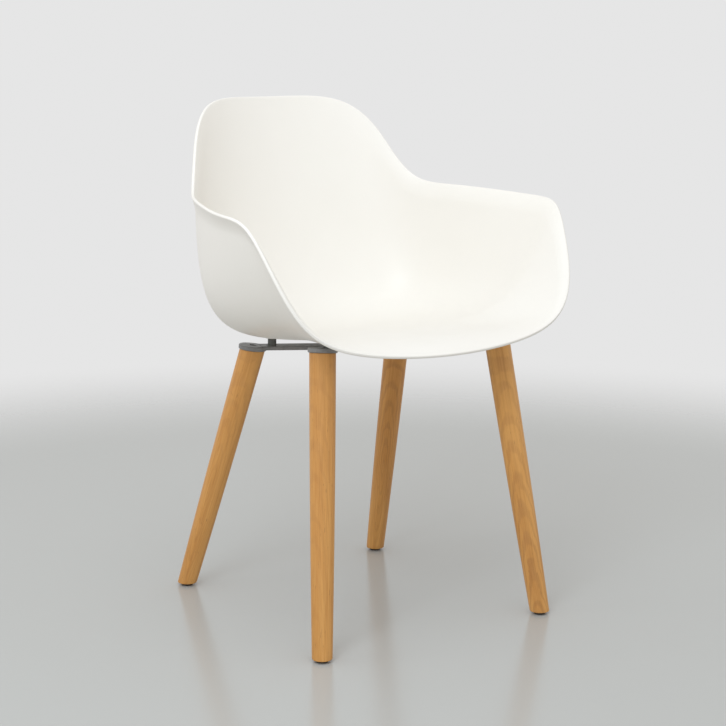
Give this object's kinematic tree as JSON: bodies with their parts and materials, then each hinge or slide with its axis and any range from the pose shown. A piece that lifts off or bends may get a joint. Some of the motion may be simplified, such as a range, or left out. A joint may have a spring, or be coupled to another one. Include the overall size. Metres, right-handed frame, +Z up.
{
  "type": "dining armchair",
  "caption": "Dining armchair: a one-piece moulded bucket shell with arms, on a dished metal spider frame with round tapered wooden legs and small glides.",
  "frame": {"origin": "on the floor, below the middle of the chair's overall box", "axes": "+Z up, the sitter faces -Y, the sitter's left is +X"},
  "size_m": [0.5768, 0.5343, 0.7969],
  "materials": {
    "shell_plastic": "fine satin",
    "frame_metal": "satin powder coat",
    "post_metal": "satin",
    "zinc_steel": "zinc plated",
    "dark_steel": "blackened",
    "brass": "turned",
    "leg_wood": "oiled",
    "glide_plastic": "matte"
  },
  "bodies": {
    "root": {"seat_shell": "shell_plastic", "shell_inserts": "brass", "frame": "frame_metal", "post_front_right": "post_metal", "post_front_left": "post_metal", "post_rear_right": "post_metal", "post_rear_left": "post_metal", "shell_screws": "zinc_steel", "leg_front_right": "leg_wood", "leg_front_left": "leg_wood", "leg_rear_right": "leg_wood", "leg_rear_left": "leg_wood", "leg_inserts": "brass", "leg_screws": "dark_steel", "leg_pins": "zinc_steel", "glide_front_right": "glide_plastic", "glide_front_left": "glide_plastic", "glide_rear_right": "glide_plastic", "glide_rear_left": "glide_plastic", "glide_screws": "zinc_steel"}
  },
  "joints": []
}
